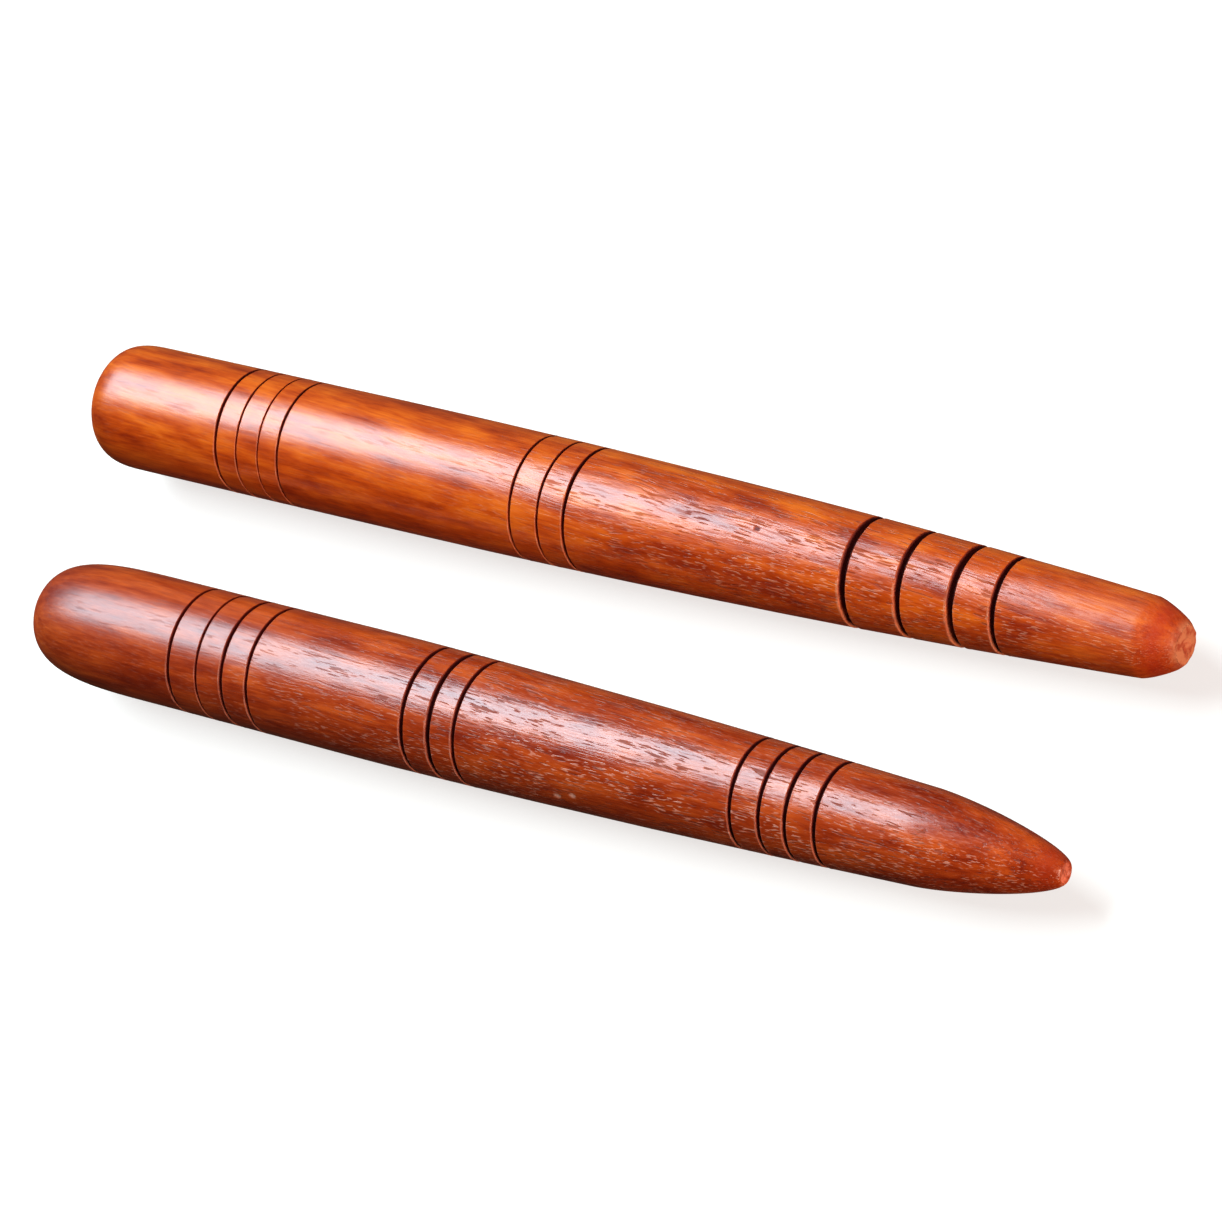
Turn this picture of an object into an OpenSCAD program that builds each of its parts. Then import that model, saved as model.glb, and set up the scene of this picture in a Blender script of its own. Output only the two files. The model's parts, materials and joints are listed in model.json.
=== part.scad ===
// A pair of claves: two turned hardwood sticks that lie side by side on a table.
// Each stick is a single solid piece with rings turned into it, so there is one node per stick.
// The origin is on the table, halfway along the pair and halfway between its outer sides.
// +X runs from the rounded butts to the tips, +Y towards the striking clave, and +Z is up.

/* [Pair] */
// Distance between the axes of the two sticks
axis_spacing = 36.8; // [28:0.2:90]
// How far the resting clave's butt lies ahead of the striking clave's
butt_lead = 3; // [0:0.5:10]
// Largest diameter of both sticks
barrel_d = 20.5; // [18:0.5:24]

/* [Striking clave] */
// Length from the butt to the end face
striking_length = 200; // [195:1:250]
// Length of the rounded butt
striking_dome = 9; // [6:0.5:20]
// Fullness of the rounded butt: 2 is an ellipse, and more is squarer
striking_dome_fullness = 3.5; // [2:0.1:5]
// Distance from the butt at which the taper begins
striking_taper_start = 41; // [30:1:60]
// Radius that the taper takes off in its first 100 mm
striking_taper_drop = 1.49; // [0.8:0.01:1.6]
// How late the taper bites: 1 is a straight cone
striking_taper_power = 2.35; // [1.8:0.05:2.4]
// Length of the rounded shoulder behind the end face
striking_nose = 6.2; // [4:0.1:10]
// Fullness of that shoulder: 1 is a chamfer, and 2 is an ellipse
striking_nose_fullness = 1.32; // [1.1:0.01:2.5]
// Diameter of the flat end face
striking_face_d = 6; // [4:0.2:7]
// Diameter of the centre mark in the end face
centre_mark_d = 2.6; // [1:0.1:3]
// Depth of the centre mark
centre_mark_depth = 0.9; // [0.3:0.1:1.5]
// Rings near the butt, as distances from the butt
striking_butt_rings = [28.7, 32.9, 37.2, 41.1]; // [25:0.1:48]
// Widths of the rings near the butt
striking_butt_ring_w = [0.6, 0.4, 0.35, 0.5]; // [0.3:0.05:0.9]
// Rings near the middle
striking_middle_rings = [86.2, 91.4, 96.2]; // [82:0.1:100]
// Widths of the rings near the middle
striking_middle_ring_w = [0.55, 0.5, 0.7]; // [0.3:0.05:1]
// Rings near the tip
striking_tip_rings = [146, 155.4, 164.3, 171.3]; // [140:0.1:176]
// Widths of the rings near the tip
striking_tip_ring_w = [1.25, 1.15, 1.25, 1]; // [0.4:0.05:1.5]

/* [Resting clave] */
// Length from the butt to the cut end face
resting_length = 190; // [185:1:240]
// Length of the rounded butt
resting_dome = 24; // [15:0.5:28]
// Fullness of the rounded butt: 2 is an ellipse, and more is squarer
resting_dome_fullness = 3.6; // [2:0.1:5]
// Distance from the butt at which the taper begins
resting_taper_start = 66; // [55:1:75]
// Radius that the taper takes off in its first 100 mm
resting_taper_drop = 2.67; // [1.5:0.01:3.2]
// How late the taper bites: 1 is a straight cone
resting_taper_power = 1.57; // [1.3:0.01:2]
// Length of the pointed nose
resting_nose = 24; // [18:0.5:32]
// Fullness of the nose: 1 is a cone, and 2 is an ellipse
resting_nose_fullness = 1.62; // [1.2:0.01:2.5]
// Diameter of the small cut end face
resting_face_d = 3.2; // [2:0.1:5]
// Rings near the butt, as distances from the butt
resting_butt_rings = [32.1, 37.7, 42.7, 47.7]; // [30:0.1:54]
// Widths of the rings near the butt
resting_butt_ring_w = [0.65, 0.5, 0.7, 0.65]; // [0.3:0.05:1]
// Rings near the middle
resting_middle_rings = [77.8, 82.8, 87.5]; // [74:0.1:92]
// Widths of the rings near the middle
resting_middle_ring_w = [0.8, 0.9, 0.75]; // [0.3:0.05:1]
// Rings near the tip
resting_tip_rings = [137.2, 142.2, 146.7, 151.7]; // [132:0.1:156]
// Widths of the rings near the tip
resting_tip_ring_w = [0.75, 0.75, 0.8, 0.8]; // [0.3:0.05:1]

/* [Rings] */
// Depth of a ring as a share of its width
ring_depth_share = 0.9; // [0.4:0.05:1.2]
// Width of a ring's flat floor as a share of its width at the surface
ring_floor_share = 0.4; // [0.1:0.05:0.9]

/* [Hidden] */
$fn = 96;

barrel_r = barrel_d / 2;
taper_span = 100;
dome_steps = 20;
taper_steps = 18;
nose_steps = 14;
ring_overshoot = 1;
mark_overshoot = 0.2;

// A stick's outline is [length, dome, dome fullness, taper start, taper drop, taper power,
// nose, nose fullness, face radius], in the order that the functions below read it.
striking_outline = [
    striking_length, striking_dome, striking_dome_fullness,
    striking_taper_start, striking_taper_drop, striking_taper_power,
    striking_nose, striking_nose_fullness, striking_face_d / 2
];
resting_outline = [
    resting_length, resting_dome, resting_dome_fullness,
    resting_taper_start, resting_taper_drop, resting_taper_power,
    resting_nose, resting_nose_fullness, resting_face_d / 2
];

function length_of(o) = o[0];
function dome_of(o) = o[1];
function nose_start(o) = o[0] - o[6];

// Height of a superellipse of unit size, at u from its apex (0) to its widest point (1)
function superellipse(u, fullness) = pow(1 - pow(1 - u, fullness), 1 / fullness);

// Radius of the tapered barrel at x, before its two ends are rounded
function barrel_radius(o, x) =
    x <= o[3] ? barrel_r : barrel_r - o[4] * pow((x - o[3]) / taper_span, o[5]);

// How fast that radius shrinks at x, as a slope
function barrel_slope(o, x) =
    x <= o[3] ? 0 : o[4] * o[5] * pow((x - o[3]) / taper_span, o[5] - 1) / taper_span;

function dome_radius(o, x) = barrel_r * superellipse(x / dome_of(o), o[2]);

function nose_radius(o, x) =
    o[8] + (barrel_radius(o, x) - o[8]) * superellipse((length_of(o) - x) / o[6], o[7]);

function radius(o, x) =
    x < dome_of(o) ? dome_radius(o, x)
    : x > nose_start(o) ? nose_radius(o, x)
    : barrel_radius(o, x);

// Stations of the outline. Both ends have theirs closer together where the curve is tighter.
function dome_stations(o) =
    [for (i = [1 : dome_steps]) dome_of(o) * (1 - cos(90 * i / dome_steps))];
function taper_stations(o) =
    [for (i = [0 : taper_steps - 1]) o[3] + (nose_start(o) - o[3]) * i / taper_steps];
function nose_stations(o) =
    [for (i = [0 : nose_steps]) nose_start(o) + o[6] * sin(90 * i / nose_steps)];

// Distance from the butt at which the stick balances
function balance(o) =
    let (
        xs = [for (x = [0.5 : 1 : length_of(o)]) x],
        areas = [for (x = xs) pow(radius(o, x), 2)]
    )
    (areas * xs) / (areas * [for (x = xs) 1]);

// A stick rests on the ring of points under its balance point, so its axis dips to the tip
// by the slope of the barrel there, and its butt's centre sits this high above the table.
function dip(o) = atan(barrel_slope(o, balance(o)));
function butt_height(o) =
    balance(o) * sin(dip(o)) + barrel_radius(o, balance(o)) * cos(dip(o));

// The solid stick, standing on its butt with its axis along +Z
module turned_blank(o) {
    stations = concat(dome_stations(o), taper_stations(o), nose_stations(o));
    rotate_extrude()
        polygon(concat(
            [[0, 0]],
            [for (x = stations) [radius(o, x), x]],
            [[0, length_of(o)]]
        ));
}

// The wood that the tool takes out for one ring of width w at x
module ring_cut(o, x, w) {
    depth = w * ring_depth_share;
    floor_half = w * ring_floor_share / 2;
    flank = (w / 2 - floor_half) / depth;
    outer_half = w / 2 + flank * ring_overshoot;
    translate([0, 0, x])
        rotate_extrude()
            polygon([
                [radius(o, x) - depth, -floor_half],
                [radius(o, x) + ring_overshoot, -outer_half],
                [radius(o, x) + ring_overshoot, outer_half],
                [radius(o, x) - depth, floor_half]
            ]);
}

module ringed_stick(o, rings, widths) {
    difference() {
        turned_blank(o);
        for (i = [0 : len(rings) - 1])
            ring_cut(o, rings[i], widths[i]);
    }
}

// Lays a standing stick on the table with its butt at x and its axis at y
module laid_down(o, x, y) {
    translate([x, y, butt_height(o)])
        rotate([0, 90 + dip(o), 0])
            children();
}

// Cone that the lathe's centre leaves in the end face
module centre_mark(o) {
    slope = centre_mark_d / 2 / centre_mark_depth;
    translate([0, 0, length_of(o) - centre_mark_depth])
        cylinder(
            h = centre_mark_depth + mark_overshoot,
            r1 = 0,
            r2 = slope * (centre_mark_depth + mark_overshoot)
        );
}

module striking_clave() {
    rings = concat(striking_butt_rings, striking_middle_rings, striking_tip_rings);
    widths = concat(striking_butt_ring_w, striking_middle_ring_w, striking_tip_ring_w);
    color([0.74, 0.32, 0.12])
        laid_down(striking_outline, -striking_length / 2, axis_spacing / 2)
            difference() {
                ringed_stick(striking_outline, rings, widths);
                centre_mark(striking_outline);
            }
}

module resting_clave() {
    rings = concat(resting_butt_rings, resting_middle_rings, resting_tip_rings);
    widths = concat(resting_butt_ring_w, resting_middle_ring_w, resting_tip_ring_w);
    color([0.58, 0.22, 0.11])
        laid_down(resting_outline, butt_lead - striking_length / 2, -axis_spacing / 2)
            ringed_stick(resting_outline, rings, widths);
}

striking_clave();
resting_clave();
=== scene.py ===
"""Looks for a pair of claves: two hand-turned rosewood sticks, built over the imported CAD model.

Lengths in STRIKING, RESTING and the shape constants are millimetres, and each stick is shaped in its
own frame, with its axis along +X from the butt. lay_down() then puts it where the CAD model has it.

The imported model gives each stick's place, axis and barrel radius. The lengths, butts, tapers, noses
and rings below repeat the driving dimensions of part.scad, so they have to change together.
"""

import json
import math

import bpy
import numpy as np
from mathutils import Matrix, Vector


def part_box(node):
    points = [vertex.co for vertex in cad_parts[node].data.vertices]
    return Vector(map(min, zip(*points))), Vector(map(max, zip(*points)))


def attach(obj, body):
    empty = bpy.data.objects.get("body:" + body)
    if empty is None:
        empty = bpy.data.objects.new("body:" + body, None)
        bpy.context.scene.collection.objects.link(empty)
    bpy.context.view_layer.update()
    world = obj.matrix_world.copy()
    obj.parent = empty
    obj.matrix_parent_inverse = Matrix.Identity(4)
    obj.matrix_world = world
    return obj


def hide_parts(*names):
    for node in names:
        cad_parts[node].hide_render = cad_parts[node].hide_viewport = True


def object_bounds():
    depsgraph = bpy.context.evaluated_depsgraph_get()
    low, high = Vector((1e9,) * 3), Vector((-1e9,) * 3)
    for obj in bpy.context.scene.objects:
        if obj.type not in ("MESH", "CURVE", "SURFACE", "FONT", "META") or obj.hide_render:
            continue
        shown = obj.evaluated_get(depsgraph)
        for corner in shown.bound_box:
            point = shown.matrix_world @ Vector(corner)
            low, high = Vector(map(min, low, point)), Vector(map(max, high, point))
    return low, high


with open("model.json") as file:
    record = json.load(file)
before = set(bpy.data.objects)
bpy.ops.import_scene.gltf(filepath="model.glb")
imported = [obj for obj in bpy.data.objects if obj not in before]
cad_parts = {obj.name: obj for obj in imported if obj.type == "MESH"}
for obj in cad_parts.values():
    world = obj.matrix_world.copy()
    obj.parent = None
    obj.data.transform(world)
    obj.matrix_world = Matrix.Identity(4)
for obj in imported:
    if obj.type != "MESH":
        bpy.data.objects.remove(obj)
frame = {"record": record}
cad_low, cad_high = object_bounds()

MM = 0.001

# ---------------------------------------------------------------- the two sticks

# Each ring is (distance from the butt, width, darkness from 0 to 1); the darkness is char and painted
# shade in the groove. Each pit, painted dark as shade in its dent, and each chip, painted pale as bare
# wood and a glint, is (distance from the butt, degrees from the top towards +Y, radius).
STRIKING = {
    "name": "striking_clave_wood",
    "node": "striking_clave",
    "body": "striking",
    "grip": "striking_grip",
    "slot": "orange_rosewood",
    "seed": 11,
    "length": 200.0,
    "dome": 9.0,
    "dome_fullness": 3.5,
    "taper_start": 41.0,
    "taper_drop": 1.49,
    "taper_power": 2.35,
    "nose": 6.2,
    "nose_fullness": 1.32,
    "face_radius": 3.0,
    "mark_radius": 1.3,
    "mark_depth": 0.9,
    "face_slant": 0.0,
    "face_roughness": 0.16,
    "end_spread": 1.5,
    "rings": (
        (28.7, 0.6, 0.95), (32.9, 0.4, 0.8), (37.2, 0.35, 0.7), (41.1, 0.5, 0.95),
        (86.2, 0.55, 0.95), (91.4, 0.5, 0.95), (96.2, 0.7, 1.0),
        (146.0, 1.25, 1.0), (155.4, 1.15, 1.0), (164.3, 1.25, 1.0), (171.3, 1.0, 1.0),
    ),
    "pits": ((130.0, 5.0, 0.4),),
    "chips": (),
}
RESTING = {
    "name": "resting_clave_wood",
    "node": "resting_clave",
    "body": "resting",
    "grip": "resting_grip",
    "slot": "red_rosewood",
    "seed": 29,
    "length": 190.0,
    "dome": 24.0,
    "dome_fullness": 3.6,
    "taper_start": 66.0,
    "taper_drop": 2.67,
    "taper_power": 1.57,
    "nose": 24.0,
    "nose_fullness": 1.62,
    "face_radius": 1.6,
    "mark_radius": 0.0,
    "mark_depth": 0.0,
    "face_slant": 0.25,
    "face_roughness": 0.22,
    "end_spread": 0.3,
    "rings": (
        (32.1, 0.65, 0.75), (37.7, 0.5, 0.65), (42.7, 0.7, 0.85), (47.7, 0.65, 0.9),
        (77.8, 0.8, 0.95), (82.8, 0.9, 1.0), (87.5, 0.75, 0.9),
        (137.2, 0.75, 1.0), (142.2, 0.75, 1.0), (146.7, 0.8, 1.0), (151.7, 0.8, 1.0),
    ),
    "pits": (),
    "chips": ((106.0, -65.0, 0.5), (109.0, -60.0, 0.45)),
}

# How far the mean surface lies inside the plain outline, and how far it ripples about that. The
# ripples fade out within CALM_RADIUS of the axis.
SKIN = 0.05
TURNING = 0.012
SANDING = 0.018
FIBRES_AT_BUTT = 0.003
FIBRES_GAINED_AT_TIP = 0.007
CALM_RADIUS = 3.0

# Places across a ring are in half widths from its centre, with the side towards the butt negative.
# Numbers of waves are how many random values there are once around a ring.
RING_DEPTH_SHARE = 0.9
RING_FLOOR_SHARE = 0.4
RING_SHOULDER = 0.12
RING_REACH = 2.5
# A ring wanders along the stick and swells, as it does under a tool held by hand.
WANDER = 0.05
WANDER_WAVES = 9
SWELL = 0.06
SWELL_WAVES = 23
BEND_FADE = 1.2
# Its lips crumble and chip, and on the stick's lower side they are painted pale, as bare wood and as a
# painted highlight where they catch the light.
LIP_AT = 1.18
LIP_SPREAD = 0.16
LIP_HEIGHT = 0.035
LIP_CHIP_DEPTH = 0.07
LIP_CHIP_WAVES = 61
LIP_CHIP_ABOVE = 0.35
LIP_CHIP_GAIN = 1.5
CRUMB_WAVES = 47
CRUMB_MEAN = 0.55
CRUMB_SPREAD = 0.6
BUTT_LIP_BARE_AND_HIGHLIGHT = 0.85
TIP_LIP_BARE_AND_HIGHLIGHT = 0.15
# It is darkened from CHAR_FROM to CHAR_TO, as char and as painted shade in the groove. On the lower
# side the dark draws back raggedly from the wall towards the butt and leaves it pale, as bare wood and
# a painted highlight, and rings narrower than FADE_BELOW are painted paler there.
CHAR_FROM = -1.08
CHAR_TO = 1.06
CHAR_SOFTNESS_FROM = 0.16
CHAR_SOFTNESS_TO = 0.14
CHAR_WAVES = 31
CHAR_RETREAT = 0.30
CHAR_RAGGEDNESS = 0.2
WALL_FROM = -1.12
WALL_OVERLAP = 0.08
WALL_BARE_AND_HIGHLIGHT = 0.35
FADE_BELOW = 0.85
FADE_RANGE = 0.5
FADE_MOST = 0.8

# Pits and chips: their depths, how much a distance along the grain counts, so that they are longer
# that way, and their soft edges.
PIT_DEPTH = 0.12
CHIP_DEPTH = 0.08
MARK_LENGTHWISE = 0.75
MARK_EDGE = 1.25
MARK_SOFTNESS = 0.6

# The rough end: how fast it begins, its two sizes of roughness, and the collar just before it.
END_BEGINS = 0.5
END_BEGINS_PER_SPREAD = 0.6
FINE_SHARE = 0.6
COARSE_SHARE = 0.4
COLLAR_BEFORE = 2.2
COLLAR_SPREAD = 1.6

# ---------------------------------------------------------------- how finely they are made

SEGMENTS = 180
ROW_STEP = 0.6
ROUND_POINTS = 400
BARREL_POINTS = 3000
FACE_POINTS = 200
# Rows across a ring, in half widths from its centre; rows further out than the last are even again.
RING_ROWS = (0.0, 0.25, 0.45, 0.62, 0.8, 0.95, 1.1, 1.3, 1.7, 2.4)
# Rows across a pit or a chip, in radii from its centre.
MARK_ROWS = (-1.6, -1.1, -0.75, -0.4, 0, 0.4, 0.75, 1.1, 1.6)
# Rows across the rims of the end face and of its centre mark.
RIM_ROWS = (-0.3, -0.15, -0.06, 0.0, 0.06, 0.15, 0.3)
RIM_CLEARANCE = 0.35
# The least distance from the first and the last row to the points at the two poles.
BUTT_POLE_GAP = 0.2
FACE_POLE_GAP = 0.15
SMALLEST_RADIUS = 0.02
NORMAL_STEP = 0.02
# The unrolled skin's margin, and the gap between its two halves, as shares of the UV square.
UV_MARGIN = 0.01
UV_GAP = 0.02


def superellipse(u, fullness):
    """Height at u, from the apex (0) to the widest point (1), of a superellipse of unit size."""
    return (1 - (1 - np.clip(u, 0, 1)) ** fullness) ** (1 / fullness)


def ease(t):
    """0 below 0, 1 above 1, and smooth in between."""
    t = np.clip(t, 0, 1)
    return t * t * (3 - 2 * t)


def outline(stick, barrel_radius):
    """The stick's plain outline as dense points (distance from the butt, radius) from pole to pole,
    and which of them is on the rim of the end face."""
    dome, length, nose = stick["dome"], stick["length"], stick["nose"]
    quarter_turn = np.linspace(0, math.pi / 2, ROUND_POINTS)
    dome_x = dome * (1 - np.cos(quarter_turn))
    barrel_x = np.linspace(dome, length - nose, BARREL_POINTS)[1:]
    nose_x = length - nose + nose * np.sin(quarter_turn)[1:]

    def tapered(x):
        late = np.maximum(x - stick["taper_start"], 0) / 100
        return barrel_radius - stick["taper_drop"] * late ** stick["taper_power"]

    dome_r = barrel_radius * superellipse(dome_x / dome, stick["dome_fullness"])
    face = stick["face_radius"]
    nose_rise = superellipse((length - nose_x) / nose, stick["nose_fullness"])
    nose_r = face + (tapered(nose_x) - face) * nose_rise
    face_r = np.linspace(face, 0, FACE_POINTS)[1:]
    face_x = np.full(len(face_r), length)
    if stick["mark_radius"] > 0:
        inward = np.clip(1 - face_r / stick["mark_radius"], 0, 1)
        face_x = length - stick["mark_depth"] * inward
    x = np.concatenate([dome_x, barrel_x, nose_x, face_x])
    r = np.concatenate([dome_r, tapered(barrel_x), nose_r, face_r])
    rim = len(x) - len(face_x) - 1
    return x, r, rim


def travel(x, r):
    """How far along the outline each of its points is."""
    return np.concatenate([[0], np.cumsum(np.hypot(np.diff(x), np.diff(r)))])


def choose_rows(stick, x, s, rim):
    """Distances along the outline at which the stick gets a row of points."""
    even = np.arange(ROW_STEP, s[-1] - FACE_POLE_GAP, ROW_STEP)
    close = []
    for centre, width, _ in stick["rings"]:
        middle = np.interp(centre, x[:rim], s[:rim])
        reach = max(RING_ROWS) * width / 2
        even = even[abs(even - middle) > reach + ROW_STEP / 3]
        close += [middle + side * u * width / 2 for u in RING_ROWS for side in (-1, 1)]
    for centre, _, radius in stick["pits"] + stick["chips"]:
        middle = np.interp(centre, x[:rim], s[:rim])
        even = even[abs(even - middle) > 2 * radius]
        close += [middle + u * radius for u in MARK_ROWS]
    for edge in (s[rim], s[rim] + stick["face_radius"] - stick["mark_radius"]):
        even = even[abs(even - edge) > RIM_CLEARANCE]
        close += [edge + step for step in RIM_ROWS]
    rows = np.unique(np.round(np.concatenate([even, close]), 4))
    return rows[(rows > BUTT_POLE_GAP) & (rows < s[-1] - FACE_POLE_GAP)]


def streaky(rng, s, angle, along, around):
    """Smooth noise from -1 to 1 over the stick's skin, with a new value every so many millimetres
    along it and so many times around it."""
    table = rng.uniform(-1, 1, (int(s.max() / along) + 3, around))
    i, j = s / along, angle / (2 * math.pi) * around
    i0, j0 = np.floor(i).astype(int), np.floor(j).astype(int) % around
    fi, fj = ease(i - np.floor(i))[:, None], ease(j - np.floor(j))[None, :]
    j1 = (j0 + 1) % around
    low = table[i0][:, j0] * (1 - fj) + table[i0][:, j1] * fj
    high = table[i0 + 1][:, j0] * (1 - fj) + table[i0 + 1][:, j1] * fj
    return low * (1 - fi) + high * fi


def around_noise(rng, angle, around):
    """Smooth noise from -1 to 1 once around a ring."""
    return streaky(rng, np.zeros(1), angle, 1.0, around)[0]


def skin_relief(rng, s, angle):
    """How far the turned and sanded surface stands off the plain outline, always inwards."""
    share = s / s[-1]
    turning = streaky(rng, s, angle, along=7.0, around=3) * TURNING
    sanding = streaky(rng, s, angle, along=24.0, around=11) * SANDING
    fibres = streaky(rng, s, angle, along=9.0, around=84)
    fibres *= FIBRES_AT_BUTT + FIBRES_GAINED_AT_TIP * share[:, None]
    return turning + sanding + fibres - SKIN


def lower_side(angle):
    """1 on the side that faces -Y and down, falling smoothly to 0 on the side that faces +Y."""
    middle, slope = 0.25, 0.75
    return ease(middle - slope * np.sin(angle))


def bend_ring(rng, u, half, angle):
    """How far a ring's rows move along the stick, because it wanders and swells a little."""
    wander = around_noise(rng, angle, WANDER_WAVES) * WANDER * half
    swell = 1 + around_noise(rng, angle, SWELL_WAVES) * SWELL
    near = ease((max(RING_ROWS) - abs(u)) / BEND_FADE)[:, None]
    return near * (wander[None, :] + u[:, None] * half * (swell[None, :] - 1))


def crumble_lip(rng, u, angle):
    """One lip of a ring, on the side where u is positive: its relief, how near the lip a row is,
    and how crumbled the lip is once around."""
    chip_noise = around_noise(rng, angle, LIP_CHIP_WAVES)
    chips = np.clip(chip_noise - LIP_CHIP_ABOVE, 0, 1) * LIP_CHIP_GAIN
    crumb_noise = around_noise(rng, angle, CRUMB_WAVES)
    crumbs = np.clip(CRUMB_MEAN + CRUMB_SPREAD * crumb_noise, 0, 1)
    near = np.exp(-(((u - LIP_AT) / LIP_SPREAD) ** 2))[:, None]
    return near * (crumbs * LIP_HEIGHT - chips * LIP_CHIP_DEPTH)[None, :], near, crumbs


def char_and_shade_ring(rng, u, width, low, angle):
    """How dark a ring is painted, as char and painted shade, and how pale its wall towards the butt
    is, as bare wood and painted highlight.
    """
    ragged = around_noise(rng, angle, CHAR_WAVES)
    edge = CHAR_FROM + low ** 2 * (CHAR_RETREAT + CHAR_RAGGEDNESS * ragged)
    char_shade = np.clip((u[:, None] - edge[None, :]) / CHAR_SOFTNESS_FROM, 0, 1)
    char_shade *= np.clip((CHAR_TO - u[:, None]) / CHAR_SOFTNESS_TO, 0, 1)
    fade = np.clip((FADE_BELOW - width) / FADE_RANGE, 0, 1) * low * FADE_MOST
    wall = (u[:, None] > WALL_FROM) & (u[:, None] < edge[None, :] + WALL_OVERLAP)
    return char_shade * (1 - fade)[None, :], wall * WALL_BARE_AND_HIGHLIGHT * (low ** 2)[None, :]


def cut_rings(rng, stick, x, points_x, relief, angle):
    """Cuts the rings into the relief. Returns how dark a ring is painted, as char and painted shade,
    and where its pale edges are, as bare wood and painted highlight.
    """
    char_and_shade = np.zeros_like(relief)
    bare_and_highlight = np.zeros_like(relief)
    low = lower_side(angle)
    for centre, width, dark in stick["rings"]:
        half = width / 2
        rows = np.nonzero(abs(x - centre) < RING_REACH * half)[0]
        u = (x[rows] - centre) / half
        points_x[rows] += bend_ring(rng, u, half, angle)
        flank = (1 - abs(u)) / (1 - RING_FLOOR_SHARE)
        relief[rows] -= ease(flank + RING_SHOULDER)[:, None] * width * RING_DEPTH_SHARE
        # On the lower side the lips are painted pale: bare wood and a painted highlight where they
        # catch the light.
        for side, bare_and_highlight_share in ((-1, BUTT_LIP_BARE_AND_HIGHLIGHT), (1, TIP_LIP_BARE_AND_HIGHLIGHT)):
            lip, near, crumbs = crumble_lip(rng, side * u, angle)
            relief[rows] += lip
            bare_and_highlight[rows] += near * (crumbs * bare_and_highlight_share * low)[None, :]
        char_shade, wall = char_and_shade_ring(rng, u, width, low, angle)
        char_and_shade[rows] = np.maximum(char_and_shade[rows], char_shade * dark)
        bare_and_highlight[rows] = np.maximum(bare_and_highlight[rows], wall)
    return char_and_shade, np.clip(bare_and_highlight, 0, 1)


def dent(marks, depth, x, r, relief, angle):
    """Sinks small round marks into the relief. Returns how far inside one each point is."""
    inside = np.zeros_like(relief)
    for centre, degrees, radius in marks:
        turn = (angle - math.radians(degrees) + math.pi) % (2 * math.pi) - math.pi
        along = (x - centre)[:, None] * MARK_LENGTHWISE
        away = np.hypot(along, turn[None, :] * r[:, None]) / radius
        inside = np.maximum(inside, ease((MARK_EDGE - away) / MARK_SOFTNESS))
    relief -= inside * depth
    return inside


def roughen_end(rng, stick, s, rim, radius, calm, relief, angle):
    """Roughens and slants the sawn end. Returns where its end grain and the collar before it are."""
    start = rim - stick["end_spread"]
    over = END_BEGINS + END_BEGINS_PER_SPREAD * stick["end_spread"]
    end = ease((s - start) / over)[:, None]
    collar = np.exp(-(((s - start + COLLAR_BEFORE) / COLLAR_SPREAD) ** 2))[:, None]
    fine = streaky(rng, s, angle, along=0.45, around=26)
    coarse = streaky(rng, s, angle, along=0.9, around=9)
    rough = fine * FINE_SHARE + coarse * COARSE_SHARE
    slant = stick["face_slant"]
    lean = slant * np.cos(angle)[None, :] * radius / max(stick["face_radius"], 1)
    relief += end * calm * (rough - 1) * stick["face_roughness"] + end * (lean - slant)
    return end, collar


def shape_stick(stick, barrel_radius):
    """The stick's mesh in its own frame, in millimetres, with its masks."""
    rng = np.random.default_rng(stick["seed"])
    dense_x, dense_r, rim = outline(stick, barrel_radius)
    dense_s = travel(dense_x, dense_r)
    s = choose_rows(stick, dense_x, dense_s, rim)
    x = np.interp(s, dense_s, dense_x)
    r = np.interp(s, dense_s, dense_r)
    before, after = s - NORMAL_STEP, s + NORMAL_STEP
    tangent_x = np.interp(after, dense_s, dense_x) - np.interp(before, dense_s, dense_x)
    tangent_r = np.interp(after, dense_s, dense_r) - np.interp(before, dense_s, dense_r)
    size = np.hypot(tangent_x, tangent_r)
    normal_x, normal_r = -tangent_r / size, tangent_x / size

    angle = np.arange(SEGMENTS) * 2 * math.pi / SEGMENTS
    points_x = np.repeat(x[:, None], SEGMENTS, 1)
    points_r = np.repeat(r[:, None], SEGMENTS, 1)
    calm = np.clip(points_r / CALM_RADIUS, 0, 1)
    relief = skin_relief(rng, s, angle) * calm
    char_and_shade, bare_and_highlight = cut_rings(rng, stick, x, points_x, relief, angle)
    # A pit's dent is painted dark, as shade in the hollow.
    char_and_shade = np.maximum(char_and_shade, dent(stick["pits"], PIT_DEPTH, x, r, relief, angle))
    # A chip's dent is painted pale, as bare wood and partly as a painted glint.
    bare_and_highlight = np.maximum(bare_and_highlight, dent(stick["chips"], CHIP_DEPTH, x, r, relief, angle))
    end, collar = roughen_end(rng, stick, s, dense_s[rim], points_r, calm, relief, angle)
    points_x += normal_x[:, None] * relief
    points_r = np.maximum(points_r + normal_r[:, None] * relief, SMALLEST_RADIUS)

    grid = np.stack([points_x, points_r * np.sin(angle), points_r * np.cos(angle)], 2)
    poles = [[points_x[0].mean(), 0, 0], [points_x[-1].mean(), 0, 0]]
    vertices = np.concatenate([grid.reshape(-1, 3), poles])
    masks = {
        "char_and_shade": with_poles(char_and_shade),
        "bare_and_highlight": with_poles(bare_and_highlight),
        "end_grain": with_poles(np.repeat(end, SEGMENTS, 1), face=1),
        "collar": with_poles(np.repeat(collar, SEGMENTS, 1)),
        "lower_side": with_poles(np.repeat(lower_side(angle)[None, :], len(s), 0)),
    }
    return vertices, masks, s, dense_s[-1]


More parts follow.
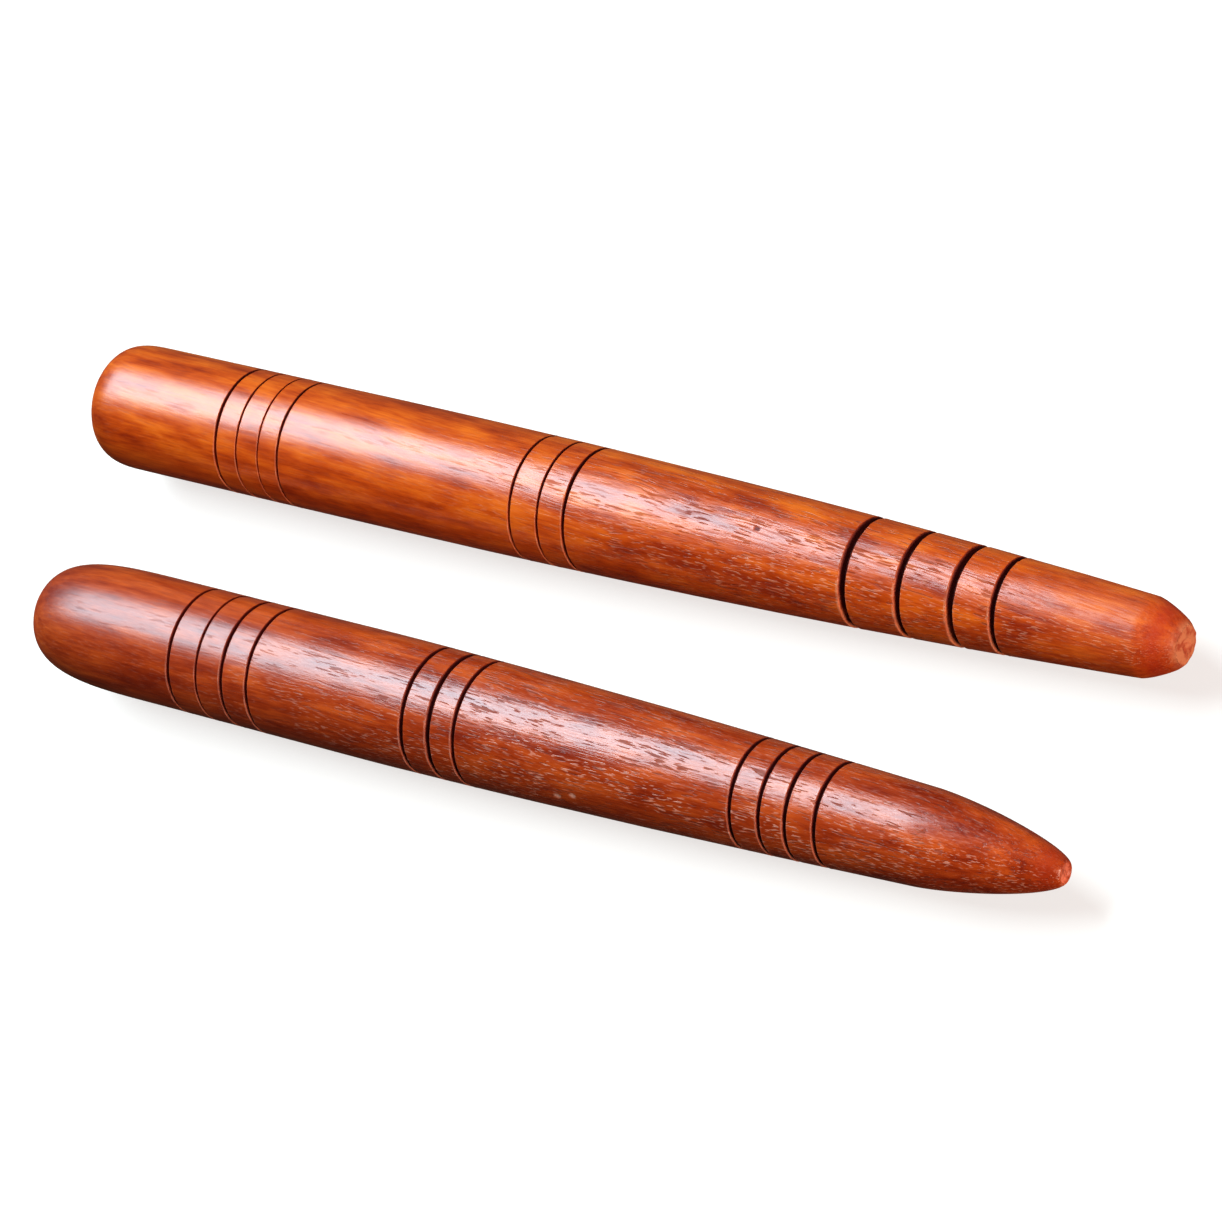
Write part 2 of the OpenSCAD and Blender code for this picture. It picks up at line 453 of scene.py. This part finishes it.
def with_poles(mask, butt=0, face=0):
    """A mask's values point by point, with those of the two poles at the end."""
    return np.append(mask.ravel(), [butt, face])


def skin_faces(rows):
    """Faces of a closed skin of rows of SEGMENTS points with a pole at either end."""
    first, last = rows * SEGMENTS, rows * SEGMENTS + 1
    faces = []
    for j in range(SEGMENTS):
        faces.append((first, j, (j + 1) % SEGMENTS))
    for i in range(rows - 1):
        a, b = i * SEGMENTS, (i + 1) * SEGMENTS
        for j in range(SEGMENTS):
            k = (j + 1) % SEGMENTS
            faces.append((a + j, b + j, b + k, a + k))
    a = (rows - 1) * SEGMENTS
    for j in range(SEGMENTS):
        faces.append((last, a + (j + 1) % SEGMENTS, a + j))
    return faces


def lay_out(mesh, s, total):
    """UV map: the skin unrolled, cut in two across the middle, one half above the other."""
    height = (1 - 2 * UV_MARGIN - UV_GAP) / 2
    rows = len(s)
    along = np.concatenate([np.repeat(s, SEGMENTS), [0.0, total]])
    half = total / 2
    layer = mesh.uv_layers.new(name="OFBake")
    uv = np.zeros((len(mesh.loops), 2), np.float32)
    for face in mesh.polygons:
        corners = list(face.vertices)
        columns = [v % SEGMENTS for v in corners if v < rows * SEGMENTS]
        wraps = max(columns) - min(columns) > SEGMENTS / 2
        turn = [(c + SEGMENTS) if wraps and c < SEGMENTS / 2 else c for c in columns]
        middle = (max(turn) + min(turn)) / 2
        upper = sum(along[v] for v in corners) / len(corners) > half
        for loop, v in zip(face.loop_indices, corners):
            column = middle
            if v < rows * SEGMENTS:
                column = v % SEGMENTS
                if wraps and column < SEGMENTS / 2:
                    column += SEGMENTS
            run = (along[v] - (half if upper else 0)) / half
            base = UV_MARGIN + (height + UV_GAP if upper else 0)
            uv[loop] = (UV_MARGIN + run * (1 - 2 * UV_MARGIN), base + column / SEGMENTS * height)
    layer.data.foreach_set("uv", uv.ravel())


def lay_down(stick):
    """Where the stick lies, with its axis through the CAD model's grip, and its barrel's radius."""
    grip = next(m for m in frame["record"]["mounts"] if m["name"] == stick["grip"])
    axis = -Vector(grip["axis"]).normalized()
    point = Vector(grip["pos_m"])
    low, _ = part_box(stick["node"])
    butt = point + axis * ((low.x - point.x) / axis.x)
    side = Vector((0, 1, 0))
    up = axis.cross(side)
    turn = Matrix((axis, side, up)).transposed().to_4x4()
    return Matrix.Translation(butt) @ turn, grip["dims"]["r_mm"]


def make_stick(stick, material):
    """One stick as a piece that stands for its CAD node and rides on its body."""
    place, barrel_radius = lay_down(stick)
    vertices, masks, s, total = shape_stick(stick, barrel_radius)
    mesh = bpy.data.meshes.new(stick["name"])
    mesh.from_pydata((vertices * MM).tolist(), [], skin_faces(len(s)))
    mesh.transform(place)
    for name, values in masks.items():
        layer = mesh.attributes.new(name, "FLOAT", "POINT")
        layer.data.foreach_set("value", values.astype(np.float32))
    lay_out(mesh, s, total)
    mesh.polygons.foreach_set("use_smooth", [True] * len(mesh.polygons))
    mesh.materials.append(material)
    mesh.validate()
    piece = bpy.data.objects.new(stick["name"], mesh)
    bpy.context.scene.collection.objects.link(piece)
    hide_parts(stick["node"])
    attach(piece, stick["body"])


# ---------------------------------------------------------------- rosewood

# Distances along the pair, in metres: the wood darkens from "butt_to" back to BUTT_END, wears from
# "worn_from" to "worn_to", and loses pores and gloss from NOSE_FROM on.
BUTT_END = -0.100
NOSE_FROM = 0.070
NOSE_PORES_TO = 0.080
NOSE_MATT_TO = 0.090

# "lean" is how far the grain leans, in radians. "matt" is the roughness where the wood is fresh and
# where it is worn, and "dull" and "nose_matt" are what dull streaks and the nose add to it. "fleck"
# is the pale colour of the flecks, lips, walls and chips, partly painted highlight.
ORANGE = {
    "name": "orange_rosewood",
    "seed": 3.0,
    "lean": 0.06,
    "butt_to": -0.092,
    "worn_from": -0.065,
    "worn_to": 0.05,
    "matt": (0.23, 0.22),
    "dull": 0.24,
    "nose_matt": 0.17,
    "nose_pores": 0.25,
    "fleck_share": 0.27,
    "deep": (0.32, 0.029, 0.003, 1),
    "mid": (0.55, 0.075, 0.005, 1),
    "light": (0.74, 0.142, 0.010, 1),
    "collar": (0.47, 0.037, 0.006, 1),
    "pore": (0.10, 0.020, 0.010, 1),
    "fleck": (0.90, 0.46, 0.30, 1),
    "end_light": (0.63, 0.21, 0.10, 1),
    "end_dark": (0.44, 0.08, 0.03, 1),
}
RED = {
    "name": "red_rosewood",
    "seed": 17.0,
    "lean": 0.04,
    "butt_to": -0.079,
    "worn_from": -0.10,
    "worn_to": 0.03,
    "matt": (0.26, 0.17),
    "dull": 0.08,
    "nose_matt": 0.0,
    "nose_pores": 0.8,
    "fleck_share": 0.47,
    "deep": (0.23, 0.019, 0.004, 1),
    "mid": (0.39, 0.047, 0.007, 1),
    "light": (0.56, 0.090, 0.013, 1),
    "collar": (0.39, 0.040, 0.010, 1),
    "pore": (0.06, 0.012, 0.008, 1),
    "fleck": (0.86, 0.42, 0.31, 1),
    "end_light": (0.80, 0.22, 0.13, 1),
    "end_dark": (0.40, 0.08, 0.04, 1),
}
# The colour of the ring grooves and pits: char, and painted shade in those hollows.
CHAR_AND_SHADE = (0.16, 0.018, 0.014, 1)
VARNISHED_IOR = 1.55
# How far the grain sways and how deep its relief is, in millimetres.
GRAIN_SWAY = 2.4
RELIEF_DEPTH = 0.10
# The most that each of these turns the wood to its own colour.
BUTT_TINT = 0.25
PORE_TINT = 0.35
COLLAR_TINT = 0.7
BARE_AND_HIGHLIGHT_TINT = 0.9


class Nodes:
    """Adds nodes to one new material."""

    def __init__(self, name):
        self.material = bpy.data.materials.new(name)
        self.material.use_nodes = True
        self.tree = self.material.node_tree
        self.tree.nodes.clear()

    def add(self, kind, inputs=(), **settings):
        node = self.tree.nodes.new(kind)
        for key, value in settings.items():
            setattr(node, key, value)
        for key, value in dict(inputs).items():
            self.feed(node.inputs[key], value)
        return node

    def feed(self, socket, value):
        if isinstance(value, bpy.types.NodeSocket):
            self.tree.links.new(value, socket)
        else:
            socket.default_value = value

    def maths(self, operation, *values):
        node = self.add("ShaderNodeMath", operation=operation)
        for socket, value in zip(node.inputs, values):
            self.feed(socket, value)
        return node.outputs[0]

    def product(self, first, *others):
        for other in others:
            first = self.maths("MULTIPLY", first, other)
        return first

    def weighted(self, start, *terms):
        """start plus each term's value times its weight."""
        for value, weight in terms:
            start = self.maths("MULTIPLY_ADD", value, weight, start)
        return start

    def span(self, value, low, high, to_low=0.0, to_high=1.0):
        """value between low and high, mapped smoothly to to_low and to_high."""
        node = self.add("ShaderNodeMapRange", interpolation_type="SMOOTHSTEP")
        for key, number in (("Value", value), ("From Min", low), ("From Max", high),
                            ("To Min", to_low), ("To Max", to_high)):
            self.feed(node.inputs[key], number)
        return node.outputs[0]

    def blend(self, first, second, *shares):
        """first, turning to second by the product of the shares."""
        node = self.add("ShaderNodeMix", data_type="RGBA")
        self.feed(node.inputs["Factor"], self.product(*shares))
        self.feed(node.inputs[6], first)
        self.feed(node.inputs[7], second)
        return node.outputs[2]

    def noise(self, place, along, across, seed, detail=2.0, roughness=0.5):
        """Noise with a new value every so many millimetres along and across the stick."""
        at = self.add("ShaderNodeMapping", {"Vector": place})
        at.inputs["Location"].default_value = (seed, seed * 1.7, seed * 2.3)
        at.inputs["Scale"].default_value = (1 / MM / along, 1 / MM / across, 1 / MM / across)
        inputs = {"Vector": at.outputs[0], "Scale": 1.0, "Detail": detail, "Roughness": roughness}
        return self.add("ShaderNodeTexNoise", inputs)

    def value_noise(self, place, along, across, seed, **settings):
        return self.noise(place, along, across, seed, **settings).outputs[0]

    def mask(self, name):
        return self.add("ShaderNodeAttribute", attribute_name=name).outputs["Fac"]

    def ramp(self, value, *stops):
        node = self.add("ShaderNodeValToRGB", {"Fac": value})
        elements = node.color_ramp.elements
        while len(elements) < len(stops):
            elements.new(0.5)
        for element, (at, colour) in zip(elements, stops):
            element.position = at
            element.color = colour
        return node.outputs[0]


def grain_lines(nodes, at, look):
    """Coordinates that follow the grain, which leans across the stick and sways a little."""
    lean = nodes.add("ShaderNodeMapping", {"Vector": at})
    lean.inputs["Rotation"].default_value = (0, 0, look["lean"])
    sway = nodes.add("ShaderNodeVectorMath", operation="MULTIPLY_ADD")
    drift = nodes.noise(at, along=40, across=12, seed=look["seed"], detail=1.0)
    nodes.feed(sway.inputs[0], drift.outputs["Color"])
    sway.inputs[1].default_value = (0, GRAIN_SWAY * MM, GRAIN_SWAY * MM)
    nodes.feed(sway.inputs[2], lean.outputs[0])
    return sway.outputs[0]


def figure(nodes, grain, look):
    """The wood's colour: broad bands, soft mottling, short streaks and fine fibres."""
    seed = look["seed"]
    bands = nodes.value_noise(grain, 90, 4.2, seed + 1)
    mottle = nodes.value_noise(grain, 10, 3.4, seed + 3, detail=3.0, roughness=0.6)
    streaks = nodes.value_noise(grain, 16, 1.1, seed + 2, detail=3.0, roughness=0.62)
    fibres = nodes.value_noise(grain, 5, 0.34, seed + 9, roughness=0.6)
    tone = nodes.weighted(0.0, (bands, 0.26), (mottle, 0.36), (streaks, 0.24), (fibres, 0.14))
    wood = nodes.ramp(tone, (0.40, look["deep"]), (0.5, look["mid"]), (0.60, look["light"]))
    return wood, streaks, fibres


def by_wear(nodes, worn, fresh, full=1.0):
    """From fresh, where the wood isn't worn, to full, where it is."""
    return nodes.span(worn, 0.0, 1.0, fresh, full)


def open_pores(nodes, grain, run, worn, look):
    """Thin dark pores in clusters, more of them where the wood is worn and fewer on the nose."""
    seed = look["seed"]
    cluster = nodes.value_noise(grain, 12, 1.8, seed + 4)
    pore_noise = nodes.value_noise(grain, 3.4, 0.32, seed + 5, detail=1.0)
    level = nodes.weighted(0.85, (cluster, -0.45))
    pores = nodes.span(nodes.maths("SUBTRACT", pore_noise, level), -0.02, 0.06)
    wear = by_wear(nodes, worn, 0.25)
    nose = nodes.span(run, NOSE_FROM, NOSE_PORES_TO, 1.0, look["nose_pores"])
    return nodes.product(pores, wear, nose)


def pale_flecks_and_glints(nodes, at, grain, worn, look):
    """Short pale flecks in patches, mostly where the wood is worn and on the lower side: pale-filled
    pores and painted glints.
    """
    seed = look["seed"]
    zone = nodes.value_noise(at, 12, 4, seed + 6)
    fleck_noise = nodes.value_noise(grain, 1.35, 0.25, seed + 7, detail=0.0)
    flecks_and_glints = nodes.span(fleck_noise, 0.59, 0.73)
    patches = nodes.span(zone, 0.32, 0.50)
    wear = by_wear(nodes, worn, 0.12)
    under = nodes.span(nodes.mask("lower_side"), 0.1, 0.9, 0.25, 1.0)
    return nodes.product(flecks_and_glints, patches, wear, under)


def dull_streaks(nodes, grain, worn, look):
    """Where handling has dulled the polish along the grain."""
    noise = nodes.value_noise(grain, 6, 0.32, look["seed"] + 10, roughness=0.6)
    return nodes.product(nodes.span(noise, 0.50, 0.64), by_wear(nodes, worn, 0.1))


def rosewood(look):
    nodes = Nodes(look["name"])
    at = nodes.add("ShaderNodeTexCoord").outputs["Object"]
    run = nodes.add("ShaderNodeSeparateXYZ", {"Vector": at}).outputs[0]
    grain = grain_lines(nodes, at, look)
    worn = nodes.span(run, look["worn_from"], look["worn_to"])
    butt = nodes.span(run, BUTT_END, look["butt_to"], 1.0, 0.0)
    wood, streaks, fibres = figure(nodes, grain, look)
    pores = open_pores(nodes, grain, run, worn, look)
    flecks_and_glints = pale_flecks_and_glints(nodes, at, grain, worn, look)
    dull = dull_streaks(nodes, grain, worn, look)
    end = nodes.mask("end_grain")
    char_and_shade = nodes.mask("char_and_shade")
    end_noise = nodes.value_noise(at, 3, 1.3, look["seed"] + 8, detail=3.0)
    end_wood = nodes.ramp(end_noise, (0.38, look["end_dark"]), (0.56, look["end_light"]))

    wood = nodes.blend(wood, look["deep"], butt, BUTT_TINT)
    wood = nodes.blend(wood, look["pore"], pores, PORE_TINT)
    # Pale flecks: pale-filled pores and painted glints.
    wood = nodes.blend(wood, look["fleck"], flecks_and_glints, look["fleck_share"])
    wood = nodes.blend(wood, look["collar"], nodes.mask("collar"), COLLAR_TINT)
    wood = nodes.blend(wood, end_wood, end)
    # Pale lips, walls and chips: bare wood and a painted highlight.
    wood = nodes.blend(wood, look["fleck"], nodes.mask("bare_and_highlight"), BARE_AND_HIGHLIGHT_TINT)
    # The grooves and pits are painted dark: char, and painted shade in those hollows.
    wood = nodes.blend(wood, CHAR_AND_SHADE, char_and_shade)

    polish = by_wear(nodes, worn, *look["matt"])
    nose = nodes.span(run, NOSE_FROM, NOSE_MATT_TO, 0.0, look["nose_matt"])
    matt = nodes.weighted(polish, (streaks, 0.16), (dull, look["dull"]), (butt, 0.05), (pores, 0.4),
                          (end, 0.3), (char_and_shade, 0.4), (nose, 1.0))

    height = nodes.weighted(0.0, (streaks, 0.38), (fibres, 0.5), (pores, -0.4), (flecks_and_glints, 0.25),
                            (end_noise, end))
    height = nodes.product(height, by_wear(nodes, worn, 0.3))
    bump = nodes.add("ShaderNodeBump", {"Height": height, "Distance": RELIEF_DEPTH * MM})
    bump.inputs["Strength"].default_value = 1.0

    shader = nodes.add("ShaderNodeBsdfPrincipled", {
        "Base Color": wood,
        "Roughness": matt,
        "Normal": bump.outputs[0],
        "IOR": VARNISHED_IOR,
    })
    output = nodes.add("ShaderNodeOutputMaterial")
    nodes.feed(output.inputs["Surface"], shader.outputs[0])
    return nodes.material


# ---------------------------------------------------------------- studio

CAMERA_LENS = 162.03
CAMERA_SENSOR = 36
CAMERA_AZIMUTH = 73.30
CAMERA_ELEVATION = 55.74
CAMERA_ROLL = 56.69
CAMERA_DISTANCE = 0.848
CAMERA_TARGET = Vector((0.00362, 0.00373, 0.00837))
# Soft boxes: tilted from straight overhead towards the butts and towards +Y, in degrees; distance
# and size in metres; power in watts.
KEY = {
    "name": "key",
    "tilt_back": 35.5,
    "tilt_side": 17,
    "distance": 1.8,
    "size": (1.13, 1.38),
    "power": 56,
    "colour": (0.72, 0.98, 1.12),
}
FILL = {
    "name": "fill",
    "tilt_back": -76,
    "tilt_side": -25,
    "distance": 1.2,
    "size": (0.5, 0.5),
    "power": 12,
    "colour": (1.0, 0.80, 0.66),
}
FLOOR_COLOUR = (0.39, 0.335, 0.30, 1)
FLOOR_ROUGHNESS = 0.9
FLOOR_GLOW = 0.6
FLOOR_RADIUS = 0.9
FLOOR_CORNERS = 96
FLOOR_GAP = 0.02
BACKDROP = (0.86, 0.86, 0.86, 1)
ROOM_COLOUR = (1.0, 0.86, 0.74, 1)
ROOM_DARKEST = 0.035
ROOM_BRIGHTEST = 0.16
# How far towards +Y, from -1 to 1, the room is darkest and brightest.
ROOM_DARKEST_AT = -0.5
ROOM_BRIGHTEST_AT = 0.9


def direction(azimuth, elevation):
    """Unit vector towards a place at that azimuth, 0 being -Y and 90 +X, and elevation."""
    a, e = math.radians(azimuth), math.radians(elevation)
    return Vector((math.sin(a) * math.cos(e), -math.cos(a) * math.cos(e), math.sin(e)))


def make_camera():
    back = direction(CAMERA_AZIMUTH, CAMERA_ELEVATION)
    data = bpy.data.cameras.new("camera")
    data.lens = CAMERA_LENS
    data.sensor_width = CAMERA_SENSOR
    camera = bpy.data.objects.new("camera", data)
    bpy.context.scene.collection.objects.link(camera)
    camera.location = CAMERA_TARGET + back * CAMERA_DISTANCE
    level = (-back).to_track_quat("-Z", "Y").to_matrix().to_4x4()
    roll = Matrix.Rotation(-math.radians(CAMERA_ROLL), 4, "Z")
    camera.rotation_euler = (level @ roll).to_euler()
    bpy.context.scene.camera = camera


def make_light(box):
    """A soft box that faces the middle of the pair."""
    x = -math.tan(math.radians(box["tilt_back"]))
    y = math.tan(math.radians(box["tilt_side"]))
    back = Vector((x, y, 1)).normalized()
    data = bpy.data.lights.new(box["name"], "AREA")
    data.shape = "RECTANGLE"
    data.size, data.size_y = box["size"]
    data.energy = box["power"]
    data.color = box["colour"]
    light = bpy.data.objects.new(box["name"], data)
    bpy.context.scene.collection.objects.link(light)
    light.location = (cad_low + cad_high) / 2 + back * box["distance"]
    across = Vector((0, 1, 0)).cross(back).normalized()
    up = back.cross(across)
    light.rotation_euler = Matrix((across, up, back)).transposed().to_euler()


def make_floor():
    """A pale disc just below the sticks, which takes their shadow and doesn't light them."""
    material = bpy.data.materials.new("floor")
    material.use_nodes = True
    shader = material.node_tree.nodes["Principled BSDF"]
    shader.inputs["Base Color"].default_value = FLOOR_COLOUR
    shader.inputs["Roughness"].default_value = FLOOR_ROUGHNESS
    shader.inputs["Specular IOR Level"].default_value = 0.0
    shader.inputs["Emission Color"].default_value = (1, 1, 1, 1)
    shader.inputs["Emission Strength"].default_value = FLOOR_GLOW
    mesh = bpy.data.meshes.new("floor")
    turns = [2 * math.pi * i / FLOOR_CORNERS for i in range(FLOOR_CORNERS)]
    corners = [(FLOOR_RADIUS * math.cos(t), FLOOR_RADIUS * math.sin(t), 0) for t in turns]
    mesh.from_pydata(corners, [], [range(FLOOR_CORNERS)])
    mesh.materials.append(material)
    floor = bpy.data.objects.new("floor", mesh)
    bpy.context.scene.collection.objects.link(floor)
    floor.location.z = cad_low.z - FLOOR_GAP * MM
    floor.visible_glossy = False
    floor.visible_diffuse = False


def make_world():
    """Pale behind the object; what lights it is a dim room, brighter on the +Y side."""
    world = bpy.data.worlds.new("studio")
    bpy.context.scene.world = world
    world.use_nodes = True
    tree = world.node_tree
    room = tree.nodes["Background"]
    room.inputs["Color"].default_value = ROOM_COLOUR
    at = tree.nodes.new("ShaderNodeTexCoord")
    split = tree.nodes.new("ShaderNodeSeparateXYZ")
    dim = tree.nodes.new("ShaderNodeMapRange")
    dim.inputs["From Min"].default_value = ROOM_DARKEST_AT
    dim.inputs["From Max"].default_value = ROOM_BRIGHTEST_AT
    dim.inputs["To Min"].default_value = ROOM_DARKEST
    dim.inputs["To Max"].default_value = ROOM_BRIGHTEST
    tree.links.new(at.outputs["Generated"], split.inputs[0])
    tree.links.new(split.outputs["Y"], dim.inputs["Value"])
    tree.links.new(dim.outputs[0], room.inputs["Strength"])
    pale = tree.nodes.new("ShaderNodeBackground")
    pale.inputs["Color"].default_value = BACKDROP
    seen = tree.nodes.new("ShaderNodeLightPath")
    choice = tree.nodes.new("ShaderNodeMixShader")
    tree.links.new(seen.outputs["Is Camera Ray"], choice.inputs[0])
    tree.links.new(room.outputs[0], choice.inputs[1])
    tree.links.new(pale.outputs[0], choice.inputs[2])
    tree.links.new(choice.outputs[0], tree.nodes["World Output"].inputs["Surface"])


make_camera()
make_light(KEY)
make_light(FILL)
make_floor()
make_world()
bpy.context.scene.view_settings.view_transform = "Standard"
bpy.context.scene.view_settings.look = "Medium High Contrast"

make_stick(STRIKING, rosewood(ORANGE))
make_stick(RESTING, rosewood(RED))
